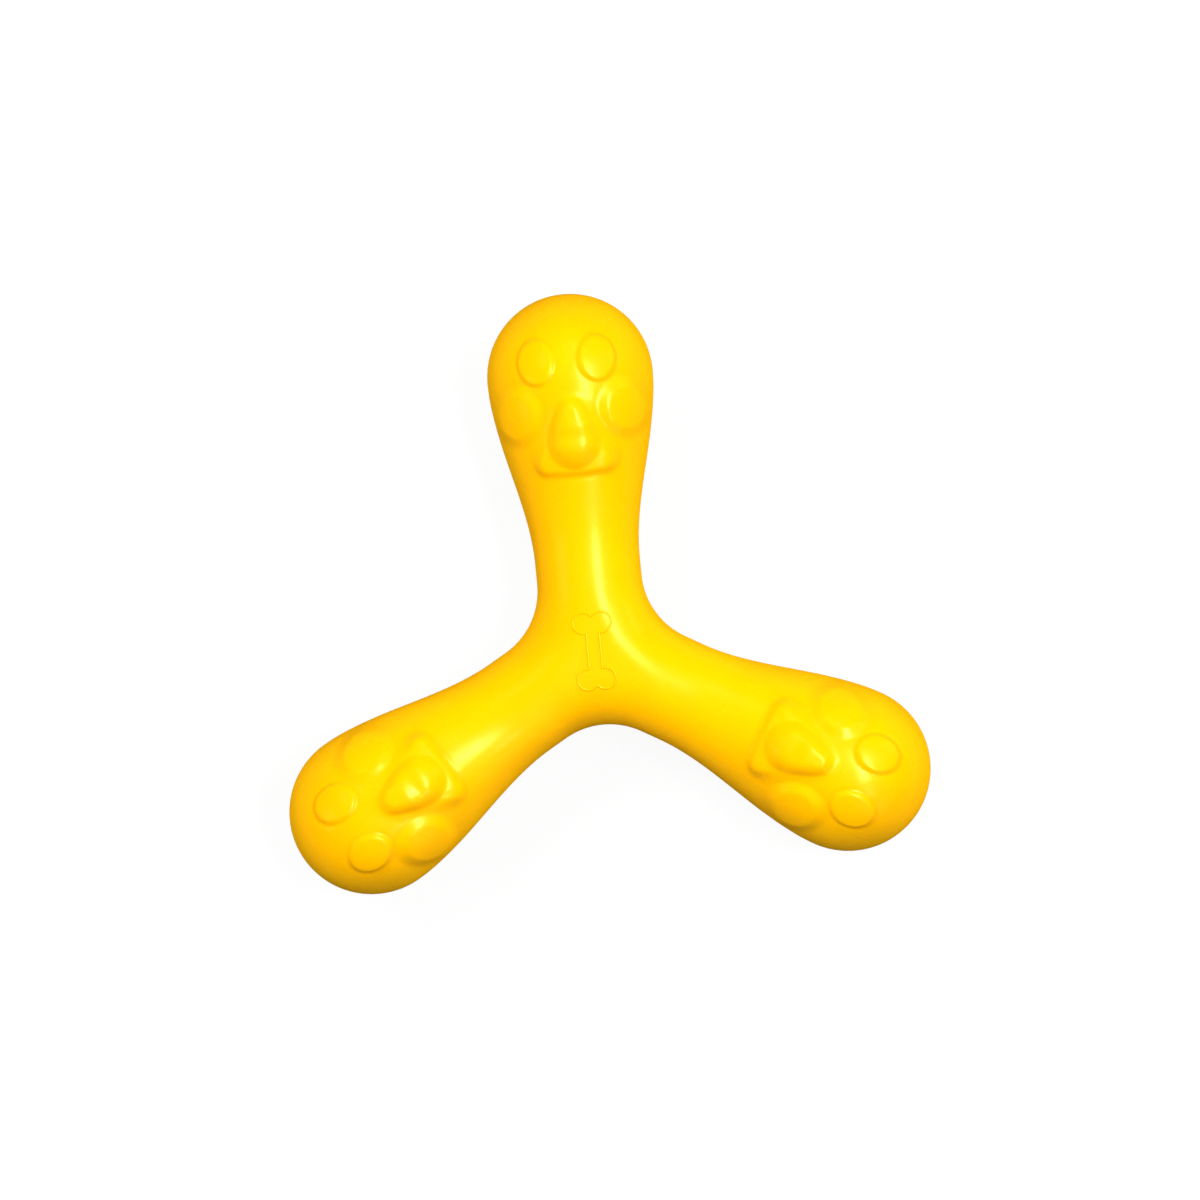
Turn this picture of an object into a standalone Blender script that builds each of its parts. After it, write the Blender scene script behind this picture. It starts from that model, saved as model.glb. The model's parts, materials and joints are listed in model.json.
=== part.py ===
"""A three-armed rubber toy for throwing and chewing, with a squeaker in its hub.

Metres, +Z up. The body is two moulded shells that meet on the plane z = 0, joined by a tongue and
groove. The origin is the centre of the hub on that plane, and one arm runs along +Y. Both shells
carry the same raised paw print on each lobe. The squeaker snaps into a port under the hub.

Arm coordinates are (along, across): along the arm from the hub's centre, and across it.
"""

import math

import bmesh
import bpy
from mathutils import Matrix, Vector

# Body
ARMS = 3
HALF_TURN = math.pi / ARMS  # from an arm's axis to the line half-way to the next arm
NECK_R = 0.0146  # radius of an arm beside the hub
TAPER_AT = 0.0260  # where an arm begins to widen
LOBE_AT = 0.0770  # centre of the lobe
LOBE_R = 0.0230
HUB_IN = 0.0201  # hub's centre to the nearest point of the outline
FILLET_R = (HUB_IN * math.sin(HALF_TURN) - NECK_R) / (1 - math.sin(HALF_TURN))
FILLET_OUT = HUB_IN + FILLET_R  # hub's centre to the fillet's centre
WALL = 0.0038
GAP = 0.0003  # between neighbouring pieces
REST_AT = 0.0245  # joint plane to the small flats that the toy rests on

# Tongue and groove, measured inwards from the outline
TONGUE = (0.0013, 0.0025)
TONGUE_HIGH = 0.0020

# Paw print: centre (along, across), half sizes (along, across) and height over the surface
TOE_AT, TOE_HALF, TOE_LIFT = (0.0808, 0.0082), (0.0058, 0.0047), 0.0010
FLANK_AT, FLANK_HALF, FLANK_LIFT = (0.0665, 0.0155), (0.0066, 0.0046), 0.0012
# Heel: widest place along the arm, reach to the hub, reach to the tip, half width, height
HEEL_BASE = (0.0548, 0.0045, 0.0174, 0.0114, 0.0015)
HEEL_TOP = (0.0570, 0.0045, 0.0138, 0.0067, 0.0036)
PAD_ROOT = 0.0012  # how deep a pad's underside lies in the wall
PAD_PROFILE = ((1.0, 0.5), (0.84, 0.92), (0.5, 1.0))  # (share of outline, share of height)

# Squeaker, on the Z axis under the hub; heights are z
PORT_R = 0.0070
COLLAR_R, COLLAR_TOP = 0.0110, -0.0065
SEAT_R, SEAT_TOP = 0.0091, -0.0122  # counterbore for the flange
HOUSING_R, HOUSING_TOP = PORT_R - GAP, -0.0010
FLANGE_R, FLANGE_TOP, FLANGE_FACE = SEAT_R - GAP, SEAT_TOP - GAP, -0.0139
BEAD_R, BEAD_HIGH = 0.0076, 0.0014
BORE_R, BORE_END = 0.0054, -0.0129
SOUND_HOLE_R = 0.00225
PLUG_R, PLUG_TOP, PLUG_LOW = BORE_R - GAP, -0.0013, -0.0042
SEAT_Y = -GAP  # the reed carrier's flat, which the reed lies over
TROUGH_R, TROUGH_LOW = 0.0036, -0.0116
CHANNEL_HALF, CHANNEL_LOW = 0.0013, -0.0108
CHANNEL_Y, MOUTH_Y = (-0.0029, -0.0011), -0.0016
REED_THICK, REED_HALF, REED_LOW, REED_TOP = 0.00025, 0.0018, -0.0110, -0.0022
SLOT_Y, SLOT_HALF = 0.0022, 0.0022
WEDGE_HALF, WEDGE_TOP, WEDGE_TAPER = 0.0018, -0.0015, 0.0002

# Facets
FAN_STEPS = 3
ARM_STEPS = 7
TIP_STEPS = 5
SECTION_STEPS = 7  # in a quarter of an arm's section
PAD_STEPS = 16
ROUND_STEPS = 32
SMALL_STEPS = 20
TWIST = math.radians(2)  # keeps the facets of round tools off the arms' axes
CLEAR = 0.001  # how far a cutter runs past what it cuts


def clear_scene():
    for item in list(bpy.data.objects):
        bpy.data.objects.remove(item, do_unlink=True)


def new_collection(name):
    collection = bpy.data.collections.new(name)
    bpy.context.scene.collection.children.link(collection)
    return collection


def new_material(name, colour, roughness):
    material = bpy.data.materials.new(name)
    material.use_nodes = True
    shader = material.node_tree.nodes["Principled BSDF"]
    shader.inputs["Base Color"].default_value = (*colour, 1.0)
    shader.inputs["Roughness"].default_value = roughness
    shader.inputs["Metallic"].default_value = 0.0
    return material


def new_object(name, mesh, collection, material=None):
    item = bpy.data.objects.new(name, mesh)
    collection.objects.link(item)
    if material is None:
        item.hide_render = True
        item.display_type = "WIRE"
    else:
        mesh.materials.append(material)
    return item


def mesh_from(bm, name, sharp_at=35.0):
    """Turns a bmesh into a smooth shaded mesh whose edges are sharp above an angle in degrees."""
    bmesh.ops.triangulate(bm, faces=[face for face in bm.faces if len(face.verts) == 4])
    mesh = bpy.data.meshes.new(name)
    bm.to_mesh(mesh)
    bm.free()
    mesh.shade_smooth()
    mesh.set_sharp_from_angle(angle=math.radians(sharp_at))
    return mesh


def flipped(mesh):
    """A copy of a mesh, mirrored in the joint plane."""
    other = mesh.copy()
    other.transform(Matrix.Scale(-1, 4, (0, 0, 1)))
    other.flip_normals()
    return other


def boolean(item, operation, tool):
    modifier = item.modifiers.new(f"{operation.lower()} {tool.name}", "BOOLEAN")
    modifier.operation = operation
    modifier.solver = "EXACT"
    modifier.object = tool


def arm_turns():
    return [Matrix.Rotation(2 * HALF_TURN * i, 4, "Z") for i in range(ARMS)]


# The outer form


def arm_radius(along):
    """Radius of an arm's round section."""
    if along > LOBE_AT:
        return math.sqrt(max(LOBE_R**2 - (along - LOBE_AT) ** 2, 0.0))
    t = min(max((along - TAPER_AT) / (LOBE_AT - TAPER_AT), 0.0), 1.0)
    return NECK_R + (LOBE_R - NECK_R) * t * t * (3 - 2 * t)


def arm_growth(along):
    """Radius times its slope, which is how far the surface's normal leans back along the arm."""
    if along > LOBE_AT:
        return LOBE_AT - along
    t = min(max((along - TAPER_AT) / (LOBE_AT - TAPER_AT), 0.0), 1.0)
    slope = (LOBE_R - NECK_R) * 6 * t * (1 - t) / (LOBE_AT - TAPER_AT)
    return arm_radius(along) * slope


def stations(inset):
    """Stations from hub to tip as (outline point, axis point, rim radius) of the form inset by a wall."""
    centre = Vector((FILLET_OUT * math.cos(HALF_TURN), FILLET_OUT * math.sin(HALF_TURN)))
    found = []
    for i in range(FAN_STEPS):
        lean = (math.pi / 2 - HALF_TURN) * (1 - i / FAN_STEPS)
        ray = Vector((-math.sin(lean), -math.cos(lean)))
        outline = centre + ray * (FILLET_R + inset)
        found.append((outline, centre + ray * centre.y / math.cos(lean), NECK_R - inset))
    for i in range(ARM_STEPS):
        along = centre.x + (LOBE_AT - centre.x) * i / ARM_STEPS
        radius = arm_radius(along) - inset
        found.append((Vector((along, radius)), Vector((along, 0.0)), radius))
    for i in range(TIP_STEPS + 1):
        bend = math.pi / 2 * i / TIP_STEPS
        along = LOBE_AT + (LOBE_R - inset) * math.sin(bend)
        radius = (LOBE_R - inset) * math.cos(bend)
        found.append((Vector((along, radius)), Vector((along, 0.0)), radius))
    return found


def half_section(station):
    """Points over half a section, from the outline to the arm's axis, as (along, across, height)."""
    outline, axis, rim = station
    points = [(*outline, GAP / 2)]
    for i in range(1, SECTION_STEPS + 1):
        place = outline.lerp(axis, 1 - math.cos(math.pi / 2 * i / SECTION_STEPS))
        inset = max(rim - (place - outline).length, 0.0)
        points.append((*place, max(math.sqrt(max(rim**2 - inset**2, 0.0)), GAP / 2)))
    return points


def other_side(points):
    return [(along, -across, up) for along, across, up in points]


def wall_sections(rim_steps):
    """The wall's closed section at each station; rim_steps are the rim's (inset, height) corners."""
    rims = [[(*place, up) for place, _, _ in stations(inset)] for inset, up in rim_steps]
    sections = []
    for i, (outside, inside) in enumerate(zip(stations(0.0), stations(WALL))):
        over, under = half_section(outside), half_section(inside)
        rim = [line[i] for line in rims]
        sections.append(
            over + other_side(over[-2::-1] + rim + under) + under[-2::-1] + rim[::-1]
        )
    return sections


def shell_mesh(rim_steps):
    """The closed wall of an upper half, a loft over the sections of every arm."""
    bm = bmesh.new()
    sections = wall_sections(rim_steps)
    for turn in arm_turns():
        rows = [[bm.verts.new(turn @ Vector((x, y, z))) for y, x, z in row] for row in sections]
        for row, after in zip(rows, rows[1:]):
            for j in range(len(row)):
                k = (j + 1) % len(row)
                bm.faces.new((row[j], after[j], after[k], row[k]))
    bmesh.ops.remove_doubles(bm, verts=bm.verts, dist=1e-6)
    return mesh_from(bm, "shell")


# The paw print


def on_arm(along, across, lift):
    """A point above the skin of the +Y arm."""
    radius = arm_radius(along)
    up = math.sqrt(max(radius**2 - across**2, 0.0))
    normal = Vector((across, -arm_growth(along), up)).normalized()
    return Vector((across, along, up)) + normal * lift


def ellipse(centre, half):
    turns = [2 * math.pi * i / PAD_STEPS for i in range(PAD_STEPS)]
    return [Vector((centre[0] + half[0] * math.cos(t), centre[1] + half[1] * math.sin(t))) for t in turns]


def heel(widest, to_hub, to_tip, half_width):
    """A bell-shaped outline: an ellipse towards the tip and a squared end towards the hub."""
    points = []
    for i in range(PAD_STEPS):
        turn = 2 * math.pi * (i + 0.5) / PAD_STEPS
        c, s = math.cos(turn), math.sin(turn)
        power = 1.0 if c > 0 else 0.6
        reach = to_tip if c > 0 else to_hub
        along = widest + math.copysign(abs(c) ** power * reach, c)
        points.append(Vector((along, math.copysign(abs(s) ** power * half_width, s))))
    return points


def add_pad(bm, outline, lift, turn):
    """Adds one raised pad as a closed body, rooted in the wall."""
    centre = sum(outline, Vector((0, 0))) / len(outline)
    loops = []
    for share, height in [(1.0, -PAD_ROOT)] + [(s, lift * rise) for s, rise in PAD_PROFILE]:
        places = [centre.lerp(point, share) for point in outline]
        loops.append([bm.verts.new(turn @ on_arm(*place, height)) for place in places])
    bottom = bm.verts.new(turn @ on_arm(*centre, -PAD_ROOT))
    top = bm.verts.new(turn @ on_arm(*centre, lift))
    for i in range(len(outline)):
        j = (i + 1) % len(outline)
        bm.faces.new((bottom, loops[0][j], loops[0][i]))
        bm.faces.new((top, loops[-1][i], loops[-1][j]))
        for low, high in zip(loops, loops[1:]):
            bm.faces.new((low[i], low[j], high[j], high[i]))


def pads_mesh(name, pads):
    """All the pads in a list of (outline, height), on every arm."""
    bm = bmesh.new()
    for turn in arm_turns():
        for outline, lift in pads:
            add_pad(bm, outline, lift, turn)
    bmesh.ops.recalc_face_normals(bm, faces=bm.faces)
    return mesh_from(bm, name)


def base_pads():
    """Toe pads, flank pads and the lower level of the heel."""
    pads = [(heel(*HEEL_BASE[:4]), HEEL_BASE[4])]
    for at, half, lift in ((TOE_AT, TOE_HALF, TOE_LIFT), (FLANK_AT, FLANK_HALF, FLANK_LIFT)):
        for side in (-1, 1):
            pads.append((ellipse((at[0], side * at[1]), half), lift))
    return pads


# Turned and boxed forms


def turned_object(name, profile, collection, material=None, steps=ROUND_STEPS):
    """A profile of (radius, z) points turned about Z; its outer side runs from top to bottom."""
    bm = bmesh.new()
    across = Vector((math.cos(TWIST), math.sin(TWIST), 0.0))
    verts = [bm.verts.new(across * radius + Vector((0.0, 0.0, z))) for radius, z in profile]
    for start, end in zip(verts, verts[1:] + verts[:1]):
        bm.edges.new((start, end))
    mesh = bpy.data.meshes.new(name)
    bm.to_mesh(mesh)
    bm.free()
    item = new_object(name, mesh, collection, material)
    screw = item.modifiers.new("turn", "SCREW")
    screw.steps = steps
    screw.render_steps = steps
    screw.use_merge_vertices = True
    screw.merge_threshold = 0.00001
    screw.use_smooth_shade = False
    return item


def cylinder_mesh(name, radius, low, high, steps=ROUND_STEPS):
    bm = bmesh.new()
    place = Matrix.Translation((0, 0, (low + high) / 2)) @ Matrix.Rotation(TWIST, 4, "Z")
    bmesh.ops.create_cone(
        bm, cap_ends=True, segments=steps, radius1=radius, radius2=radius,
        depth=high - low, matrix=place,
    )
    return mesh_from(bm, name)


def box_mesh(name, low, high):
    """A box between two corners."""
    bm = bmesh.new()
    size = Vector(high) - Vector(low)
    place = Matrix.Translation((Vector(low) + Vector(high)) / 2)
    bmesh.ops.create_cube(bm, size=1.0, matrix=place @ Matrix.Diagonal((*size, 1.0)))
    return mesh_from(bm, name)


# The pieces


def rest_cutter(tools, side):
    """A slab beyond the resting flats; side is 1 above and -1 below."""
    near, far = sorted((side * REST_AT, side * 2 * REST_AT))
    reach = LOBE_AT + 2 * LOBE_R
    mesh = box_mesh("rest slab", (-reach, -reach, near), (reach, reach, far))
    return new_object(f"rest_slab_{'above' if side > 0 else 'below'}", mesh, tools)


def add_paws(item, side, tools):
    """Joins the raised pads to a shell, then planes the resting flats."""
    levels = {"pads": base_pads(), "heels": [(heel(*HEEL_TOP[:4]), HEEL_TOP[4])]}
    for label, pads in levels.items():
        mesh = pads_mesh(f"{item.name}_{label}", pads)
        if side < 0:
            mesh = flipped(mesh)
        boolean(item, "UNION", new_object(f"{item.name}_{label}", mesh, tools))
    boolean(item, "DIFFERENCE", rest_cutter(tools, side))


def upper_shell(parts, tools, material):
    """The upper half, with the groove in its rim."""
    near, far = TONGUE[0] - GAP, TONGUE[1] + GAP
    depth = TONGUE_HIGH + GAP
    rim_steps = [(near, GAP / 2), (near, depth), (far, depth), (far, GAP / 2)]
    item = new_object("upper_shell", shell_mesh(rim_steps), parts, material)
    add_paws(item, 1, tools)


def lower_shell(parts, tools, material):
    """The lower half, with the tongue on its rim and the squeaker's port and collar in its hub."""
    near, far = TONGUE
    rim_steps = [(near, GAP / 2), (near, -TONGUE_HIGH), (far, -TONGUE_HIGH), (far, GAP / 2)]
    item = new_object("lower_shell", flipped(shell_mesh(rim_steps)), parts, material)
    add_paws(item, -1, tools)
    collar = cylinder_mesh("collar", COLLAR_R, WALL / 2 - NECK_R, COLLAR_TOP)
    boolean(item, "UNION", new_object("collar", collar, tools))
    port = [
        (PORT_R, COLLAR_TOP + CLEAR), (PORT_R, SEAT_TOP), (SEAT_R, SEAT_TOP),
        (SEAT_R, -NECK_R - CLEAR), (0.0, -NECK_R - CLEAR), (0.0, COLLAR_TOP + CLEAR),
    ]
    boolean(item, "DIFFERENCE", turned_object("port", port, tools))


def squeaker_housing(parts, material):
    """The cup: its bead snaps past the collar, and its flange sits in the counterbore."""
    bead_low = COLLAR_TOP + GAP
    bead_top = bead_low + BEAD_HIGH
    bevel = BEAD_R - HOUSING_R
    profile = [
        (HOUSING_R, HOUSING_TOP), (HOUSING_R, bead_top), (BEAD_R, bead_top - bevel / 2),
        (BEAD_R, bead_low), (HOUSING_R, bead_low), (HOUSING_R, FLANGE_TOP),
        (FLANGE_R, FLANGE_TOP), (FLANGE_R, FLANGE_FACE), (SOUND_HOLE_R, FLANGE_FACE),
        (SOUND_HOLE_R, BORE_END), (BORE_R, BORE_END), (BORE_R, HOUSING_TOP),
    ]
    turned_object("squeaker_housing", profile, parts, material)


def reed_carrier(parts, tools, material):
    """A round plug with a half-round trough under it, whose channel leads through the plug."""
    plug = cylinder_mesh("reed_carrier", PLUG_R, PLUG_LOW, PLUG_TOP)
    item = new_object("reed_carrier", plug, parts, material)
    trough = cylinder_mesh("trough", TROUGH_R, TROUGH_LOW, PLUG_LOW + CLEAR, SMALL_STEPS)
    boolean(item, "UNION", new_object("trough", trough, tools))
    cuts = {
        "flat": ((-PLUG_R, SEAT_Y, TROUGH_LOW - CLEAR), (PLUG_R, PLUG_R, PLUG_LOW)),
        "slot": ((-SLOT_HALF, SEAT_Y, PLUG_LOW - CLEAR), (SLOT_HALF, SLOT_Y, CLEAR)),
        "channel": (
            (-CHANNEL_HALF, CHANNEL_Y[0], CHANNEL_LOW), (CHANNEL_HALF, CHANNEL_Y[1], CLEAR)
        ),
        "mouth": ((-CHANNEL_HALF, MOUTH_Y, CHANNEL_LOW), (CHANNEL_HALF, CLEAR, PLUG_LOW - GAP)),
    }
    for name, corners in cuts.items():
        boolean(item, "DIFFERENCE", new_object(name, box_mesh(name, *corners), tools))


def reed(parts, material):
    """The strip, with its origin on the hinge line where the clamp ends."""
    hinge = Vector((0.0, REED_THICK / 2, PLUG_LOW))
    mesh = box_mesh("reed", (-REED_HALF, 0.0, REED_LOW), (REED_HALF, REED_THICK, REED_TOP))
    mesh.transform(Matrix.Translation(-hinge))
    item = new_object("reed", mesh, parts, material)
    item.location = hinge


def reed_wedge(parts, material):
    """A block that thins towards its inner end."""
    low = (-WEDGE_HALF, REED_THICK + GAP, PLUG_LOW)
    high = (WEDGE_HALF, SLOT_Y - GAP, WEDGE_TOP)
    mesh = box_mesh("reed_wedge", low, high)
    for vertex in mesh.vertices:
        if vertex.co.y > (low[1] + high[1]) / 2 and vertex.co.z < (low[2] + high[2]) / 2:
            vertex.co.y -= WEDGE_TAPER
    new_object("reed_wedge", mesh, parts, material)


def main():
    clear_scene()
    parts = new_collection("three_arm_toy")
    tools = new_collection("cutters")
    rubber = (0.95, 0.60, 0.004)
    upper_shell(parts, tools, new_material("upper shell rubber", rubber, 0.35))
    lower_shell(parts, tools, new_material("lower shell rubber", rubber, 0.35))
    squeaker_housing(parts, new_material("housing plastic", (0.80, 0.80, 0.76), 0.4))
    reed_carrier(parts, tools, new_material("carrier plastic", (0.75, 0.75, 0.72), 0.4))
    reed(parts, new_material("reed film", (0.70, 0.74, 0.78), 0.25))
    reed_wedge(parts, new_material("wedge plastic", (0.78, 0.78, 0.74), 0.4))


main()
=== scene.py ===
"""Looks for the three-armed rubber toy: fine moulded shells, squeaker, materials, light and camera.

Metres, +Z up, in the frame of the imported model. Arm coordinates are (along, across): along an arm
from the hub's centre, and across it. Both shells are lofts over the sections of three like arms.
"""

import json
import math

import bmesh
import bpy
import numpy as np
from mathutils import Matrix, Vector
from mathutils.bvhtree import BVHTree


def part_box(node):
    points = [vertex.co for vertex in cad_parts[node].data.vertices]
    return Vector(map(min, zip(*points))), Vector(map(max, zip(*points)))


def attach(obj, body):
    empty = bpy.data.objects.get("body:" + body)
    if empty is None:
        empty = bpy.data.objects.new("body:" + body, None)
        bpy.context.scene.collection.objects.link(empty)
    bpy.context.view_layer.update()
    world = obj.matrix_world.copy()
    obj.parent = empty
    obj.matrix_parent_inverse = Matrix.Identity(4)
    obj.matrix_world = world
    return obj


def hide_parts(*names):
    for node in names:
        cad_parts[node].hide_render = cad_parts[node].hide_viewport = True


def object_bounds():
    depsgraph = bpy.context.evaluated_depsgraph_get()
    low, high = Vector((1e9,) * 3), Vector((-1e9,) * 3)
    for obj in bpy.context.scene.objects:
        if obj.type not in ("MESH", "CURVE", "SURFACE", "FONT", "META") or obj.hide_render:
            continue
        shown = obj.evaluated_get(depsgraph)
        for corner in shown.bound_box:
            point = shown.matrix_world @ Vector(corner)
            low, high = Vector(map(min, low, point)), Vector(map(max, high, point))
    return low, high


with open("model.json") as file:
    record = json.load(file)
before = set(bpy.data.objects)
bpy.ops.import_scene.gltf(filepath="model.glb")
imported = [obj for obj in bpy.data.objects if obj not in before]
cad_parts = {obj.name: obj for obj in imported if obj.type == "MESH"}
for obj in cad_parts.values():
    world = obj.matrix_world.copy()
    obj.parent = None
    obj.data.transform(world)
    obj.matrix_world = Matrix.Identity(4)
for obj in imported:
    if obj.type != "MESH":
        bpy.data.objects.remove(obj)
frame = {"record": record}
CAD_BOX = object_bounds()

# Form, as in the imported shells
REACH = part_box("upper_shell")[1].y  # hub's centre to the tip of the +Y arm
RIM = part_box("upper_shell")[0].z  # joint plane to either shell's rim
REST_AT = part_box("upper_shell")[1].z  # joint plane to the flats that the toy rests on
LOBE_R = 0.0230
LOBE_AT = REACH - LOBE_R
NECK_R = 0.0146
TAPER_AT = 0.0260
HUB_IN = 0.0201
WALL = 0.0038
ARMS = 3
HALF_TURN = math.pi / ARMS
FILLET_R = (HUB_IN * math.sin(HALF_TURN) - NECK_R) / (1 - math.sin(HALF_TURN))
FILLET_OUT = HUB_IN + FILLET_R
TONGUE = (0.0013, 0.0025)
TONGUE_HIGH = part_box("lower_shell")[1].z
RIM_ROUND = 0.00018

# Stations along an arm, and points over half a section
FAN_ROWS, NECK_ROWS, LOBE_ROWS, TIP_ROWS = 12, 24, 76, 56
PRINT_AT = 0.0440  # where the finely divided part of an arm begins
OUTER_STEPS, INNER_STEPS = 68, 16

# Paw print, toe and flank pads: centre (along, across), half sizes, height. The soft edge and the
# faint line round a pad are given as shares of its size, and its crown as a share of its height.
TOE_AT, TOE_HALF, TOE_LIFT = (0.0812, 0.0083), (0.0061, 0.0048), 0.0008
TOE_EDGE, TOE_CROWN = 0.22, 0.10
TOE_LINE, TOE_LINE_WIDE = 1.13, 0.08
FLANK_AT, FLANK_HALF, FLANK_LIFT = (0.0672, 0.0146), (0.0071, 0.0059), 0.0013
FLANK_EDGE, FLANK_CROWN = 0.55, 0.30
FLANK_LINE, FLANK_LINE_WIDE, FLANK_LINE_DEEP = 1.28, 0.12, 0.35
LINE_DEEP = 0.00010

# Heel pad: a bell that is broad towards the hub. HEEL_NARROWS says how much it narrows, from which
# share of its length on and over which share; HEEL_TIP is the share in which its tip closes.
HEEL_LOW, HEEL_HIGH, HEEL_HALF, HEEL_LIFT = 0.0497, 0.0730, 0.0114, 0.0009
HEEL_NARROWS, HEEL_TIP = (0.44, 0.30, 0.60), 0.20
HEEL_BOW, HEEL_CORNER = 0.0007, 0.0038
# Its edge starts a little outside the outline. It gets wider outwards, by HEEL_BLEND times its
# width over a share of the heel's length, and the line round it fades.
HEEL_SKIRT, HEEL_EDGE, HEEL_BLEND, HEEL_BLEND_OVER = 0.0004, 0.0022, 2.2, 0.6
HEEL_LINE_OUT, HEEL_LINE_WIDE, HEEL_LINE_FADES = 0.0007, 0.0007, 0.9
# Low bumps at the heel's two corners: centre, half sizes, height
FOOT_AT, FOOT_HALF, FOOT_LIFT = (0.0536, 0.0080), (0.0036, 0.0034), 0.0006

# Egg-shaped swelling on the heel, with faint ripples along it. A higher EGG_BLUNT gives blunter
# ends. EGG_DOME of the height is a dome, whose foot EGG_FOOT softens. The rest is a soft mound,
# which EGG_FULL makes reach its full height a little before the middle.
EGG_LOW, EGG_HIGH, EGG_HALF, EGG_LIFT = 0.0516, 0.0716, 0.0073, 0.0022
EGG_NARROWS, EGG_BLUNT = (0.29, 0.25, 0.65), 2.4
EGG_FOOT, EGG_DOME, EGG_FULL = 0.09, 0.4, 1.1
RIPPLE, RIPPLE_AT, RIPPLE_EVERY = 0.045, 0.0580, 0.0056

# Hub mark: a plain bone, its shaft along the +Y arm
BONE_AT, BONE_HALF = 0.0015, 0.0018
KNOB_AT, KNOB_R = (0.0024, 0.0078), 0.0029
BONE_LINE_R, BONE_SINK = 0.00036, 0.00010
KNOB_STEPS, SHAFT_STEPS, BEAD_SIDES = 24, 6, 10

# Squeaker, turned about Z; heights are z
PORT_R, SEAT_R, COLLAR_R = 0.0070, 0.0091, 0.0110
COLLAR_TOP, SEAT_TOP = -0.0065, -0.0122
BEAD_R, BEAD_HIGH, BORE_R, SOUND_HOLE_R = 0.0076, 0.0014, 0.0054, 0.00225
GAP = 2 * RIM  # between neighbouring pieces
# Reed carrier: the reed lies over its flat, which looks to +Y
FLAT_Y, TROUGH_R, PLUG_LOW = -GAP, 0.0036, -0.0042
SLOT_Y, SLOT_HALF = 0.0022, 0.0022
CHANNEL_HALF, CHANNEL_LOW, CHANNEL_Y, MOUTH_Y = 0.0013, -0.0108, (-0.0029, -0.0011), -0.0016
WEDGE_TAPER = 0.0002
PAST = 0.001  # how far a cut reaches past the faces that it opens

# Meshes: lengths that count as nothing, and the angles in degrees from which an edge is sharp
TINY, WELD, SLIVER = 1e-9, 1e-6, 1e-7
SHELL_SHARP, PLASTIC_SHARP = 50, 40


def smooth(x):
    """0 up to x = 0, 1 from x = 1, and an even curve between."""
    x = np.clip(x, 0.0, 1.0)
    return x * x * (3 - 2 * x)


def band(value, centre, width):
    """1 where the value is at the centre, falling to nearly 0 over two widths."""
    return np.exp(-(((value - centre) / width) ** 2))


def narrowed(half, share, narrows):
    """A half width that narrows along a pad: (how much, from which share of it, over how much)."""
    much, start, over = narrows
    return half * (1 - much * smooth((share - start) / over))


# The outer form


def arm_radius(along):
    """Radius of an arm's round section."""
    ball = np.sqrt(np.maximum(LOBE_R**2 - (along - LOBE_AT) ** 2, 0.0))
    taper = NECK_R + (LOBE_R - NECK_R) * smooth((along - TAPER_AT) / (LOBE_AT - TAPER_AT))
    return np.where(along > LOBE_AT, ball, taper)


def arm_growth(along):
    """Radius times its slope: how far the surface's normal leans back along the arm."""
    t = np.clip((along - TAPER_AT) / (LOBE_AT - TAPER_AT), 0.0, 1.0)
    slope = (LOBE_R - NECK_R) * 6 * t * (1 - t) / (LOBE_AT - TAPER_AT)
    return np.where(along > LOBE_AT, LOBE_AT - along, arm_radius(along) * slope)


def stations(inset):
    """(outline points, axis points, rim radii) from hub to tip, of the form inset by a wall."""
    centre = FILLET_OUT * np.array([math.cos(HALF_TURN), math.sin(HALF_TURN)])
    lean = (math.pi / 2 - HALF_TURN) * (1 - np.arange(FAN_ROWS) / FAN_ROWS)
    ray = np.stack([-np.sin(lean), -np.cos(lean)], 1)
    outline = [centre + ray * (FILLET_R + inset)]
    axis = [centre + ray * (centre[1] / np.cos(lean))[:, None]]
    rim = [np.full(FAN_ROWS, NECK_R - inset)]
    along = np.concatenate([
        np.linspace(centre[0], PRINT_AT, NECK_ROWS, endpoint=False),
        np.linspace(PRINT_AT, LOBE_AT, LOBE_ROWS, endpoint=False),
    ])
    radius = arm_radius(along) - inset
    bend = np.linspace(0.0, math.pi / 2, TIP_ROWS)
    along = np.concatenate([along, LOBE_AT + (LOBE_R - inset) * np.sin(bend)])
    radius = np.concatenate([radius, (LOBE_R - inset) * np.cos(bend)])
    outline.append(np.stack([along, radius], 1))
    axis.append(np.stack([along, np.zeros_like(along)], 1))
    rim.append(radius)
    return np.concatenate(outline), np.concatenate(axis), np.concatenate(rim)


def half_section(inset, steps, low):
    """Points over half of every section, outline to axis: places (along, across, up) and normals."""
    outline, axis, rim = stations(inset)
    share = (1 - np.cos(np.linspace(0.0, math.pi / 2, steps + 1)))[None, :, None]
    plan = outline[:, None] + (axis - outline)[:, None] * share
    depth = np.linalg.norm(plan - outline[:, None], axis=2)
    left = np.maximum(rim[:, None] - depth, 0.0)
    up = np.sqrt(np.maximum(rim[:, None] ** 2 - left**2, 0.0))
    along, across = plan[..., 0], plan[..., 1]
    arm_normal = np.stack([-arm_growth(along), across, up], 2)
    ray = outline - axis
    ray = ray / np.maximum(np.linalg.norm(ray, axis=1), TINY)[:, None]
    hub_normal = np.concatenate([ray[:, None] * left[..., None], up[..., None]], 2)
    at_hub = (np.arange(len(outline)) < FAN_ROWS)[:, None, None]
    normal = np.where(at_hub, hub_normal, arm_normal)
    normal /= np.maximum(np.linalg.norm(normal, axis=2), TINY)[..., None]
    places = np.concatenate([plan, np.maximum(up, low)[..., None]], 2)
    return places, normal


# The paw print


def ellipse_reach(along, across, centre, half):
    """Distance from an ellipse's centre as a share of its size; across may be on either side."""
    return np.hypot((along - centre[0]) / half[0], (np.abs(across) - centre[1]) / half[1])


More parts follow.
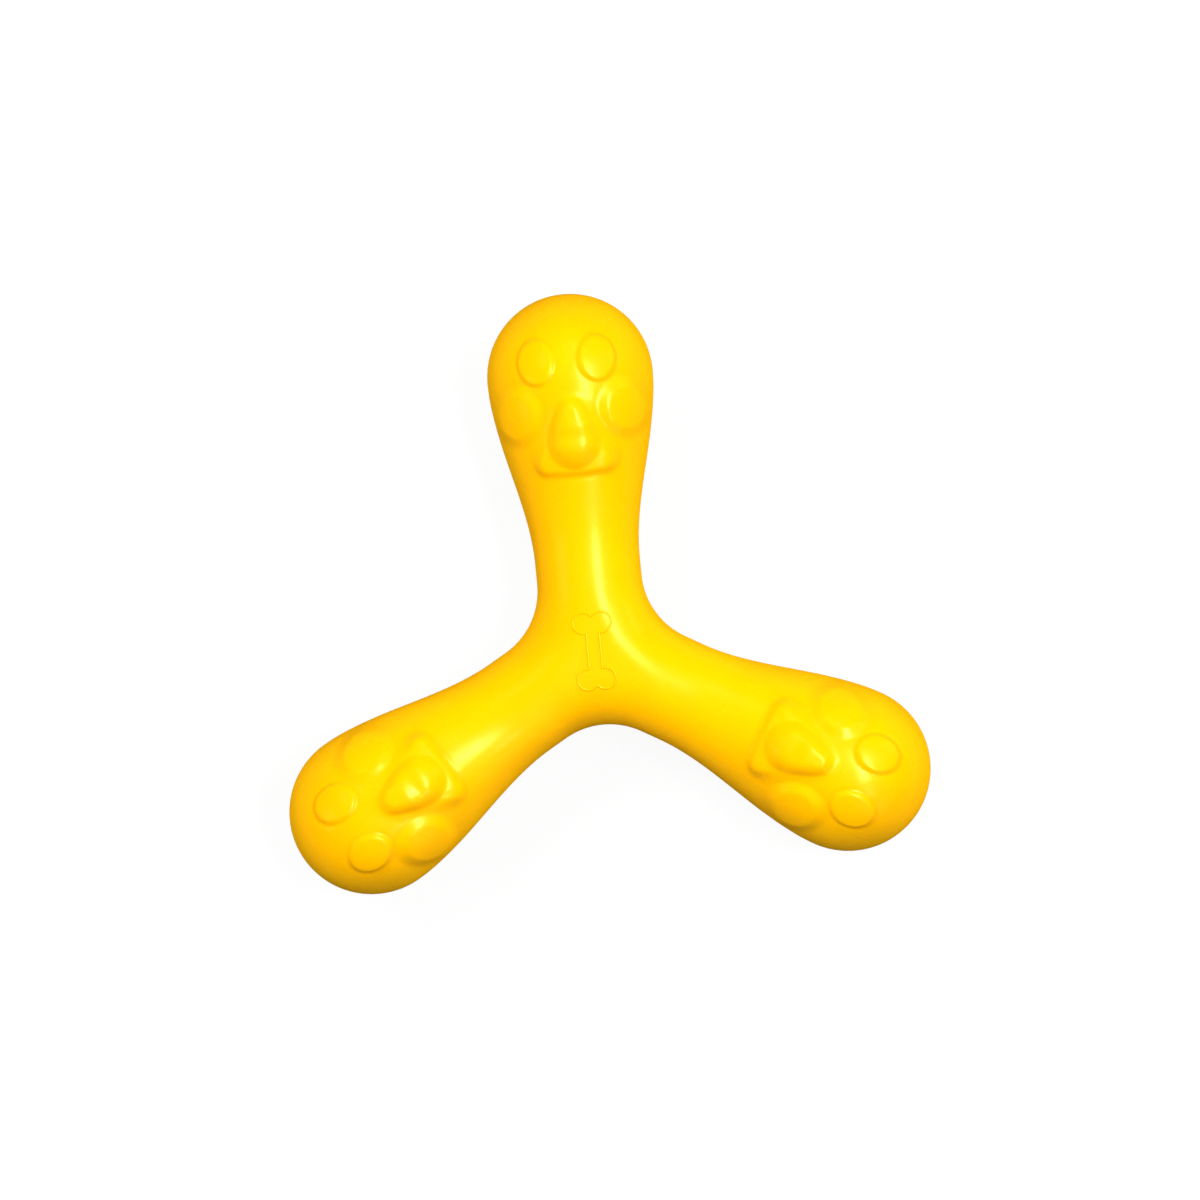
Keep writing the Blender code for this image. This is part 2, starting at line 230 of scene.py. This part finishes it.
def raised(reach, edge, crown):
    """A pad's height share: crowned on top, with a soft edge of a given width round its outline."""
    return smooth((1 + edge / 2 - reach) / edge) * (1 - crown * np.minimum(reach, 1.0) ** 2)


def heel_inside(along, across):
    """How far inside the heel's bell-shaped outline a point is, in metres."""
    t = np.clip((along - HEEL_LOW) / (HEEL_HIGH - HEEL_LOW), 0.0, 1.0)
    bell = narrowed(HEEL_HALF, t, HEEL_NARROWS)
    bell = bell * np.sqrt(np.clip((1 - t) / HEEL_TIP, 0.0, 1.0))
    side = bell - np.abs(across)
    foot = along - HEEL_LOW - HEEL_BOW * (across / HEEL_HALF) ** 2
    corner = np.hypot(np.maximum(HEEL_CORNER - side, 0.0), np.maximum(HEEL_CORNER - foot, 0.0))
    return np.minimum(HEEL_CORNER - corner, HEEL_HIGH - along)


def swelling(along, across):
    """Height of the egg-shaped swelling, broad towards the hub: part dome, part soft mound."""
    t = (along - EGG_LOW) / (EGG_HIGH - EGG_LOW)
    half = narrowed(EGG_HALF, t, EGG_NARROWS)
    inside = np.maximum(1 - np.abs(2 * t - 1) ** EGG_BLUNT - (across / half) ** 2, 0.0)
    low, high = math.sqrt(EGG_FOOT), math.sqrt(1 + EGG_FOOT)
    dome = (np.sqrt(inside + EGG_FOOT) - low) / (high - low)
    dome = EGG_DOME * dome + (1 - EGG_DOME) * smooth(EGG_FULL * inside)
    ripple = 1 + RIPPLE * np.cos(2 * math.pi * (along - RIPPLE_AT) / RIPPLE_EVERY)
    return EGG_LIFT * dome * ripple


def relief(along, across):
    """Height over the smooth arm in metres, and how much a point lies in the line round a pad."""
    toe = ellipse_reach(along, across, TOE_AT, TOE_HALF)
    flank = ellipse_reach(along, across, FLANK_AT, FLANK_HALF)
    foot = ellipse_reach(along, across, FOOT_AT, FOOT_HALF)
    inside = heel_inside(along, across)
    outwards = smooth((along - HEEL_LOW) / (HEEL_HIGH - HEEL_LOW) / HEEL_BLEND_OVER)
    edge = HEEL_EDGE * (1 + HEEL_BLEND * outwards)
    heel = HEEL_LIFT * smooth((inside + HEEL_SKIRT) / edge) + FOOT_LIFT * band(foot, 0.0, 1.0)
    height = TOE_LIFT * raised(toe, TOE_EDGE, TOE_CROWN)
    height = np.maximum(height, FLANK_LIFT * raised(flank, FLANK_EDGE, FLANK_CROWN))
    height = np.maximum(height, heel + swelling(along, across))
    line = band(toe, TOE_LINE, TOE_LINE_WIDE)
    line = np.maximum(line, FLANK_LINE_DEEP * band(flank, FLANK_LINE, FLANK_LINE_WIDE))
    heel_line = (1 - HEEL_LINE_FADES * outwards) * band(inside, -HEEL_LINE_OUT, HEEL_LINE_WIDE)
    return height, np.maximum(line, heel_line)


# Shells


def other_side(points):
    """The same points on the other side of the arm's middle."""
    return points * np.array([1.0, -1.0, 1.0])


def section_loops(rim_steps):
    """Closed loops over every section: places, and how much each point lies in the line round a pad,
    which gets painted shade.
    """
    over, normal = half_section(0.0, OUTER_STEPS, RIM + RIM_ROUND)
    under, _ = half_section(WALL, INNER_STEPS, RIM)
    sides, line_shade_masks = [], []
    for side in (1.0, -1.0):
        height, line = relief(over[..., 0], side * over[..., 1])
        lifted = over + normal * (height - LINE_DEEP * line)[..., None]
        lifted[..., 2] = np.minimum(lifted[..., 2], REST_AT)
        sides.append(lifted if side > 0 else other_side(lifted))
        line_shade_masks.append(line)
    rim = []
    for inset, up in rim_steps:
        outline = stations(inset)[0]
        rim.append(np.concatenate([outline, np.full((len(outline), 1), up)], 1))
    rim = np.stack(rim, 1)
    loop = [
        sides[0], sides[1][:, -2::-1], other_side(rim), other_side(under),
        under[:, -2::-1], rim[:, ::-1],
    ]
    flat = [np.zeros(part.shape[:2]) for part in loop[2:]]
    return np.concatenate(loop, 1), np.concatenate([line_shade_masks[0], line_shade_masks[1][:, -2::-1]] + flat, 1)


def welded(mesh, sharp_angle, turn_outwards=False):
    """Joins doubled points, drops slivers, and shades the mesh smooth but for its sharp edges."""
    bm = bmesh.new()
    bm.from_mesh(mesh)
    bmesh.ops.remove_doubles(bm, verts=bm.verts, dist=WELD)
    bmesh.ops.dissolve_degenerate(bm, edges=bm.edges, dist=SLIVER)
    if turn_outwards:
        bmesh.ops.recalc_face_normals(bm, faces=bm.faces)
    bm.to_mesh(mesh)
    bm.free()
    mesh.shade_smooth()
    mesh.set_sharp_from_angle(angle=math.radians(sharp_angle))
    return mesh


def shell_mesh(name, rim_steps, side):
    """The closed wall of one half; side is 1 for the upper half and -1 for the lower."""
    loops, line_shade_mask = section_loops(rim_steps)
    rows, columns = loops.shape[:2]
    places, faces = [], []
    i, j = np.meshgrid(np.arange(rows - 1), np.arange(columns), indexing="ij")
    k = (j + 1) % columns
    quads = np.stack([i, i + 1, i + 1, i], 2) * columns + np.stack([j, j, k, k], 2)
    if side < 0:
        quads = quads[..., ::-1]
    for arm in range(ARMS):
        turn = 2 * HALF_TURN * arm
        x, y = loops[..., 1], loops[..., 0]
        turned = [x * math.cos(turn) - y * math.sin(turn), x * math.sin(turn) + y * math.cos(turn)]
        places.append(np.stack([*turned, side * loops[..., 2]], 2).reshape(-1, 3))
        faces.append(quads.reshape(-1, 4) + arm * rows * columns)
    mesh = bpy.data.meshes.new(name)
    mesh.from_pydata(np.concatenate(places).tolist(), [], np.concatenate(faces).tolist())
    # Where the lines round the pads lie, for the painted shade in the rubber's colour.
    marks = mesh.attributes.new("line_shade_mask", "FLOAT", "POINT")
    marks.data.foreach_set("value", np.tile(line_shade_mask.reshape(-1), ARMS).astype(np.float32))
    return welded(mesh, SHELL_SHARP)


def linked(name, mesh):
    item = bpy.data.objects.new(name, mesh)
    bpy.context.scene.collection.objects.link(item)
    return item


def mesh_of(name, points, faces):
    mesh = bpy.data.meshes.new(name)
    mesh.from_pydata([tuple(point) for point in points], [], faces)
    mesh.shade_smooth()
    return mesh


def combined(item, operation, tool_mesh):
    """Adds a closed mesh to an object, or cuts it out of the object."""
    tool = linked("tool", tool_mesh)
    modifier = item.modifiers.new(operation, "BOOLEAN")
    modifier.operation = operation
    modifier.solver = "MANIFOLD"
    modifier.object = tool
    graph = bpy.context.evaluated_depsgraph_get()
    result = bpy.data.meshes.new_from_object(item.evaluated_get(graph))
    item.modifiers.clear()
    item.data = result
    bpy.data.objects.remove(tool)
    item.data.set_sharp_from_angle(angle=math.radians(SHELL_SHARP))


def rounded(profile, radius, steps=4):
    """A closed profile with each corner off the axis turned into a short curve.

    A curve takes a little under half of either side at most, so that neighbours don't meet.
    """
    points, most = [], 1 / 2.1
    for i, corner in enumerate(profile):
        corner = Vector(corner)
        if corner.x == 0.0:
            points.append(corner)
            continue
        before, after = Vector(profile[i - 1]), Vector(profile[(i + 1) % len(profile)])
        shorter = min((before - corner).length, (after - corner).length)
        reach = min(radius, shorter * most)
        start = corner + (before - corner).normalized() * reach
        end = corner + (after - corner).normalized() * reach
        for k in range(steps + 1):
            t = k / steps
            points.append(start * (1 - t) ** 2 + corner * 2 * t * (1 - t) + end * t**2)
    return points


def turned_mesh(name, profile, steps=96):
    """A closed profile of (radius, z) points turned about Z."""
    angles = [2 * math.pi * (i + 0.5) / steps for i in range(steps)]
    points = [(r * math.cos(a), r * math.sin(a), z) for a in angles for r, z in profile]
    size = len(profile)
    faces = []
    for i in range(steps):
        for j in range(size):
            k = (j + 1) % size
            here, there = i * size, (i + 1) % steps * size
            faces.append((here + j, here + k, there + k, there + j))
    return welded(mesh_of(name, points, faces), PLASTIC_SHARP, turn_outwards=True)


def bone_outline():
    """The outline of a bone round (0, 0), its shaft along Y: four knobs and two straight sides."""
    reach = KNOB_AT[1] - math.sqrt(KNOB_R**2 - (KNOB_AT[0] - BONE_HALF) ** 2)
    start = math.atan2(reach - KNOB_AT[1], BONE_HALF - KNOB_AT[0])
    end = math.pi - math.acos(KNOB_AT[0] / KNOB_R)
    corner = [Vector((BONE_HALF, reach * i / SHAFT_STEPS)) for i in range(SHAFT_STEPS)]
    for i in range(KNOB_STEPS + 1):
        turn = start + (end - start) * i / KNOB_STEPS
        corner.append(Vector(KNOB_AT) + KNOB_R * Vector((math.cos(turn), math.sin(turn))))
    half = corner + [Vector((-x, y)) for x, y in reversed(corner)][1:]
    return half + [Vector((x, -y)) for x, y in reversed(half)][1:-1]


def bone_mesh(shell):
    """A round bead along the bone's outline, sunk a little into the top of the hub."""
    tree = BVHTree.FromObject(shell, bpy.context.evaluated_depsgraph_get())
    line = []
    for x, y in bone_outline():
        place, normal, _, _ = tree.ray_cast(Vector((x, y + BONE_AT, REST_AT)), Vector((0, 0, -1)))
        line.append((place - normal * BONE_SINK, normal))
    points, faces = [], []
    for i, (place, normal) in enumerate(line):
        along = (line[(i + 1) % len(line)][0] - line[i - 1][0]).normalized()
        across = along.cross(normal).normalized()
        for k in range(BEAD_SIDES):
            turn = 2 * math.pi * k / BEAD_SIDES
            points.append(place + (across * math.cos(turn) + normal * math.sin(turn)) * BONE_LINE_R)
    for i in range(len(line)):
        for k in range(BEAD_SIDES):
            here, there = i * BEAD_SIDES, (i + 1) % len(line) * BEAD_SIDES
            beside = (k + 1) % BEAD_SIDES
            faces.append((here + k, there + k, there + beside, here + beside))
    return mesh_of("bone", points, faces)


def upper_shell():
    """The upper half, with the groove in its rim and the bone on its hub."""
    near, far, depth = TONGUE[0] - GAP, TONGUE[1] + GAP, TONGUE_HIGH + GAP
    steps = [(RIM_ROUND, RIM), (near, RIM), (near, depth), (far, depth), (far, RIM)]
    item = linked("upper_shell_rubber", shell_mesh("upper shell", steps, 1))
    combined(item, "UNION", bone_mesh(item))
    return item


def lower_shell():
    """The lower half, with the tongue on its rim and the squeaker's port and collar in its hub."""
    near, far = TONGUE
    steps = [
        (RIM_ROUND, RIM), (near, RIM), (near, -TONGUE_HIGH), (far, -TONGUE_HIGH), (far, RIM),
    ]
    item = linked("lower_shell_rubber", shell_mesh("lower shell", steps, -1))
    inside, outside = WALL / 2 - NECK_R, -NECK_R - WALL
    collar = [(0.0, COLLAR_TOP), (COLLAR_R, COLLAR_TOP), (COLLAR_R, inside), (0.0, inside)]
    combined(item, "UNION", turned_mesh("collar", collar))
    lip = 0.0006
    port = [
        (0.0, COLLAR_TOP + WALL), (PORT_R + WALL, COLLAR_TOP + WALL), (PORT_R, COLLAR_TOP - lip),
        (PORT_R, SEAT_TOP), (SEAT_R, SEAT_TOP), (SEAT_R, lip - NECK_R),
        (SEAT_R + WALL, outside), (0.0, outside),
    ]
    combined(item, "DIFFERENCE", turned_mesh("port", port))
    return item


def squeaker_housing():
    """The squeaker's cup, with softened edges, a snap bead and a dished face round its hole."""
    low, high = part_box("squeaker_housing")
    cup_r, flange_r = PORT_R - GAP, SEAT_R - GAP
    rim, dish, edge = 0.0012, 0.0003, 0.00025
    bead_low, floor_top = COLLAR_TOP + GAP, low.z + 0.0010
    bead_top = bead_low + BEAD_HIGH
    profile = [
        (cup_r, high.z), (cup_r, bead_top), (BEAD_R, bead_top - (BEAD_R - cup_r) / 2),
        (BEAD_R, bead_low), (cup_r, bead_low), (cup_r, SEAT_TOP - GAP), (flange_r, SEAT_TOP - GAP),
        (flange_r, low.z), (flange_r - rim, low.z), (flange_r - rim - dish, low.z + dish),
        (SOUND_HOLE_R, low.z + dish), (SOUND_HOLE_R, floor_top), (BORE_R, floor_top),
        (BORE_R, high.z),
    ]
    return linked("squeaker_housing_cup", turned_mesh("cup", rounded(profile, edge)))


def box_mesh(name, low, high, taper=0.0):
    """A box between two corners; its +Y face leans in by the taper at its foot."""
    bm = bmesh.new()
    bmesh.ops.create_cube(bm, size=1.0)
    low, high = Vector(low), Vector(high)
    for vertex in bm.verts:
        share = vertex.co + Vector((0.5, 0.5, 0.5))
        vertex.co = low + (high - low) * share
        if share.y > 0.5 and share.z < 0.5:
            vertex.co.y -= taper
    mesh = bpy.data.meshes.new(name)
    bm.to_mesh(mesh)
    bm.free()
    return mesh


def softened(mesh, width, steps, along_y_only=False):
    """Rounds a box's edges, or only the four that run along Y."""
    bm = bmesh.new()
    bm.from_mesh(mesh)
    edges = bm.edges[:]
    if along_y_only:
        edges = [edge for edge in edges if abs(edge.verts[0].co.y - edge.verts[1].co.y) > TINY]
    bmesh.ops.bevel(bm, geom=edges, offset=width, segments=steps, profile=0.5, affect="EDGES")
    bm.to_mesh(mesh)
    bm.free()
    mesh.set_sharp_from_angle(angle=math.radians(PLASTIC_SHARP))
    return mesh


def reed_carrier():
    """A round plug with a half-round trough under it, whose channel leads through the plug."""
    low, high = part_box("reed_carrier")
    profile = [
        (0.0, high.z), (high.x, high.z), (high.x, PLUG_LOW), (TROUGH_R, PLUG_LOW),
        (TROUGH_R, low.z), (0.0, low.z),
    ]
    edge = 0.00018
    item = linked("reed_carrier_plug", turned_mesh("plug", rounded(profile, edge)))
    cuts = (
        ("flat", (-high.x, FLAT_Y, low.z - PAST), (high.x, high.x, PLUG_LOW)),
        ("slot", (-SLOT_HALF, FLAT_Y, PLUG_LOW - PAST), (SLOT_HALF, SLOT_Y, PAST)),
        ("channel", (-CHANNEL_HALF, CHANNEL_Y[0], CHANNEL_LOW), (CHANNEL_HALF, CHANNEL_Y[1], PAST)),
        ("mouth", (-CHANNEL_HALF, MOUTH_Y, CHANNEL_LOW), (CHANNEL_HALF, PAST, PLUG_LOW - GAP)),
    )
    for name, corner, far_corner in cuts:
        combined(item, "DIFFERENCE", box_mesh(name, corner, far_corner))
    return item


def reed():
    """The vibrating strip, with round corners."""
    corner_r, steps = 0.0006, 6
    mesh = box_mesh("strip", *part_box("reed"))
    return linked("reed_strip", softened(mesh, corner_r, steps, along_y_only=True))


def reed_wedge():
    """A block that thins towards its inner end, with softened edges."""
    edge_r, steps = 0.00012, 3
    mesh = box_mesh("wedge", *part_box("reed_wedge"), taper=WEDGE_TAPER)
    return linked("reed_wedge_block", softened(mesh, edge_r, steps))


# Materials


def fill(tree, socket, value):
    """Gives an input its value, or links it where the value is another node's output."""
    if isinstance(value, bpy.types.NodeSocket):
        tree.links.new(value, socket)
    else:
        socket.default_value = value


def dress(tree, made, **inputs):
    """Fills a node's inputs by name, with _ for a space."""
    for name, value in inputs.items():
        fill(tree, made.inputs[name.replace("_", " ")], value)
    return made


def node(tree, kind, **inputs):
    """A new shader node with its inputs filled."""
    return dress(tree, tree.nodes.new(kind), **inputs)


def blank_material(name):
    """(material, its node tree, its principled shader)."""
    material = bpy.data.materials.new(name)
    material.use_nodes = True
    return material, material.node_tree, material.node_tree.nodes["Principled BSDF"]


def mixed_shader(tree, share, first, second):
    """A mix of two shaders; a share of 1 is all of the second."""
    mix = node(tree, "ShaderNodeMixShader", Fac=share)
    tree.links.new(first.outputs[0], mix.inputs[1])
    tree.links.new(second.outputs[0], mix.inputs[2])
    return mix


def show(tree, shader):
    """Makes a shader the material's surface."""
    tree.links.new(shader.outputs[0], tree.nodes["Material Output"].inputs["Surface"])


def noise(tree, where, scale, detail, low, high):
    """A noise value from low to high; the texture's own values lie mostly from 0.3 to 0.7."""
    texture = node(tree, "ShaderNodeTexNoise", Vector=where, Scale=scale, Detail=detail)
    spread = node(
        tree, "ShaderNodeMapRange", Value=texture.outputs["Fac"],
        From_Min=0.3, From_Max=0.7, To_Min=low, To_Max=high,
    )
    return spread.outputs["Result"]


def opaque(colour):
    return (*colour, 1.0)


def mixed_colour(tree, share, first, second):
    """A mix of two colours with their alpha; a share of 1 is all of the second."""
    mix = tree.nodes.new("ShaderNodeMix")
    mix.data_type = "RGBA"
    for place, value in ((0, share), (6, first), (7, second)):  # the places of the colour kind
        fill(tree, mix.inputs[place], value)
    return mix.outputs[2]


def times(tree, value, factor):
    """A value times a factor."""
    product = tree.nodes.new("ShaderNodeMath")
    product.operation = "MULTIPLY"
    fill(tree, product.inputs[0], value)
    fill(tree, product.inputs[1], factor)
    return product.outputs[0]


def bumped(tree, where, layers):
    """Normals with noise bumps of (scale, detail, strength, distance), one over the other."""
    normal = None
    for scale, detail, strength, distance in layers:
        texture = node(tree, "ShaderNodeTexNoise", Vector=where, Scale=scale, Detail=detail)
        bump = node(
            tree, "ShaderNodeBump", Height=texture.outputs["Fac"], Strength=strength, Distance=distance
        )
        if normal is not None:
            tree.links.new(normal, bump.inputs["Normal"])
        normal = bump.outputs["Normal"]
    return normal


def rubber():
    """Glossy, deeply dyed yellow rubber: mottled dye, painted shade in the lines round the pads, soft
    waves.
    """
    # The third colour is painted shade, laid into the lines round the pads.
    deep, bright, shade_in_lines = (0.97, 0.455, 0.0), (1.0, 0.487, 0.0), (0.90, 0.34, 0.0)
    line_shade_share = 0.30
    coat_colour = (1.0, 0.90, 0.25)
    coat_facing, coat_grazing = 0.045, 0.10  # the coat's share of the light
    waves, grain = (38.0, 1.0, 0.35, 0.0008), (420.0, 2.0, 0.20, 0.0001)
    material, tree, shader = blank_material("yellow rubber")
    where = node(tree, "ShaderNodeTexCoord").outputs["Object"]
    mottle = noise(tree, where, scale=45.0, detail=3.0, low=0.0, high=1.0)
    dye_and_line_shade = mixed_colour(tree, mottle, opaque(deep), opaque(bright))
    # The mask of the lines round the pads, where the painted shade goes.
    line_shade_mask = node(tree, "ShaderNodeAttribute")
    line_shade_mask.attribute_name = "line_shade_mask"
    dye_and_line_shade = mixed_colour(tree, times(tree, line_shade_mask.outputs["Fac"], line_shade_share), dye_and_line_shade, opaque(shade_in_lines))
    normal = bumped(tree, where, (waves, grain))
    dress(
        tree, shader, Base_Color=dye_and_line_shade, Normal=normal, Roughness=0.5, Specular_IOR_Level=0.0,
        Subsurface_Weight=0.10, Subsurface_Radius=(1.0, 0.35, 0.05), Subsurface_Scale=0.003,
    )
    coat = node(
        tree, "ShaderNodeBsdfAnisotropic", Color=opaque(coat_colour), Normal=normal,
        Roughness=noise(tree, where, scale=110.0, detail=4.0, low=0.22, high=0.30),
    )
    edge = node(tree, "ShaderNodeLayerWeight", Blend=0.25, Normal=normal)
    share = node(
        tree, "ShaderNodeMapRange", Value=edge.outputs["Facing"],
        To_Min=coat_facing, To_Max=coat_grazing,
    )
    show(tree, mixed_shader(tree, share.outputs["Result"], shader, coat))
    return material


def plastic(name, colour, roughness, clear=0.0):
    """Natural moulded plastic: a faint cloudiness, flow marks and fine tool texture."""
    cloud_dark, flow_spread = 0.88, 0.06
    tool_texture = (2500.0, 2.0, 0.25, 0.00002)
    material, tree, shader = blank_material(name)
    where = node(tree, "ShaderNodeTexCoord").outputs["Object"]
    cloud = noise(tree, where, scale=300.0, detail=3.0, low=0.0, high=1.0)
    smoother, rougher = roughness - flow_spread, roughness + flow_spread
    flow = noise(tree, where, scale=900.0, detail=2.0, low=smoother, high=rougher)
    darker = tuple(part * cloud_dark for part in colour)
    dress(
        tree, shader, Base_Color=mixed_colour(tree, cloud, opaque(darker), opaque(colour)),
        Roughness=flow, Normal=bumped(tree, where, (tool_texture,)),
        Transmission_Weight=clear, Subsurface_Weight=0.2 * (1 - clear), Subsurface_Scale=0.0008,
    )
    return material


def paint(mesh, material):
    """Makes a material the only one of a mesh."""
    mesh.materials.clear()
    mesh.materials.append(material)


# Stage

LAMP_AT = 1.25  # every lamp's distance from the hub
# Name, azimuth, elevation, size, share, mirrored
LAMPS = (
    ("back_softbox", 75, 50, 0.45, 0.24, False),
    ("left_softbox", 135, 50, 0.45, 0.66, False),
    ("right_softbox", 15, 50, 0.45, 0.12, False),
    ("low_right_softbox", 22, 20, 0.45, 0.50, False),
    ("low_left_softbox", 185, 32, 0.45, 0.26, False),
    ("front_fill", -55, 20, 0.45, 0.10, False),
    ("overhead_right", 30, 65, 0.34, 0.15, True),
    ("neck_strip", 6, 68, 0.20, 0.28, True),
    ("front_strip", -22, 66, 0.20, 0.22, True),
    ("window", -52, 49, 0.14, 0.06, True),
)


def floor(material):
    """A wide sheet just under the toy."""
    size, below = 6.0, 0.0001
    mesh = bpy.data.meshes.new("floor")
    bm = bmesh.new()
    place = Matrix.Translation((0, 0, CAD_BOX[0][2] - below))
    bmesh.ops.create_grid(bm, x_segments=1, y_segments=1, size=size / 2, matrix=place)
    bm.to_mesh(mesh)
    bm.free()
    paint(mesh, material)
    linked("floor", mesh)


def floor_material():
    """White to the camera, with a trace of shadow, and dark to the toy, so its flanks stay deep."""
    paper_white, dark_grey = (0.86, 0.86, 0.86), (0.14, 0.14, 0.14)
    glow_share = 0.93
    material, tree, paper = blank_material("floor")
    dress(tree, paper, Base_Color=opaque(paper_white), Roughness=0.9)
    glow = node(tree, "ShaderNodeEmission", Color=(1.0, 1.0, 1.0, 1.0), Strength=1.0)
    seen = mixed_shader(tree, glow_share, paper, glow)
    grey = node(tree, "ShaderNodeBsdfDiffuse", Color=opaque(dark_grey))
    to_camera = node(tree, "ShaderNodeLightPath").outputs["Is Camera Ray"]
    show(tree, mixed_shader(tree, to_camera, grey, seen))
    return material


def area_light(name, azimuth, elevation, size, share, mirrored):
    """A square lamp that faces the hub; azimuth 0 is +X and 90 is +Y, in degrees.

    A share of 1 lights white paper that faces the lamp to plain white. Only a mirrored lamp shows
    as a highlight.
    """
    data = bpy.data.lights.new(name, "AREA")
    data.size = size
    data.energy = share * (math.pi * LAMP_AT) ** 2
    item = linked(name, data)
    turn, rise = math.radians(azimuth), math.radians(elevation)
    flat = math.cos(rise)
    towards = Vector((flat * math.cos(turn), flat * math.sin(turn), math.sin(rise)))
    item.location = towards * LAMP_AT
    item.rotation_euler = (-towards).to_track_quat("-Z", "Y").to_euler()
    item.visible_glossy = mirrored


def light():
    """The lamps, and a dim white surround."""
    for lamp in LAMPS:
        area_light(*lamp)
    world = bpy.data.worlds.new("studio")
    world.use_nodes = True
    surround = world.node_tree.nodes["Background"]
    dress(world.node_tree, surround, Color=(1.0, 1.0, 1.0, 1.0), Strength=0.02)
    bpy.context.scene.world = world


def camera():
    """Nearly straight down on the toy, from a little to the +X and +Y side, rolled slightly."""
    target, distance = Vector((0.00242, 0.01456, 0.0)), 0.974
    tilt, azimuth, roll = math.radians(3.2), math.radians(55.0), math.radians(5.41)
    data = bpy.data.cameras.new("camera")
    data.lens = 105.0
    data.sensor_width = 36.0
    item = linked("camera", data)
    lean = math.sin(tilt)
    back = Vector((lean * math.cos(azimuth), lean * math.sin(azimuth), math.cos(tilt)))
    up = Vector((math.sin(roll), math.cos(roll), 0.0))
    right = up.cross(back).normalized()
    up = back.cross(right)
    turn = Matrix((right, up, back)).transposed().to_4x4()
    item.matrix_world = Matrix.Translation(target + back * distance) @ turn
    bpy.context.scene.camera = item
    bpy.context.scene.view_settings.view_transform = "Standard"


def main():
    """Builds every piece in place of its CAD node, then the stage."""
    record = frame["record"]
    bodies = {name: body for body, names in record["behaviour"]["bodies"].items() for name in names}
    skin = rubber()
    cup_plastic = plastic("cup plastic", (0.82, 0.82, 0.78), 0.40)
    carrier_plastic = plastic("carrier plastic", (0.76, 0.76, 0.73), 0.42)
    wedge_plastic = plastic("wedge plastic", (0.80, 0.80, 0.75), 0.38)
    film = plastic("reed film", (0.72, 0.76, 0.80), 0.22, clear=0.35)
    pieces = {
        "upper_shell": (upper_shell(), skin),
        "lower_shell": (lower_shell(), skin),
        "squeaker_housing": (squeaker_housing(), cup_plastic),
        "reed_carrier": (reed_carrier(), carrier_plastic),
        "reed_wedge": (reed_wedge(), wedge_plastic),
        "reed": (reed(), film),
    }
    for cad_node, (piece, material) in pieces.items():
        paint(piece.data, material)
        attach(piece, bodies[cad_node])
        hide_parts(cad_node)
    floor(floor_material())
    light()
    camera()


main()
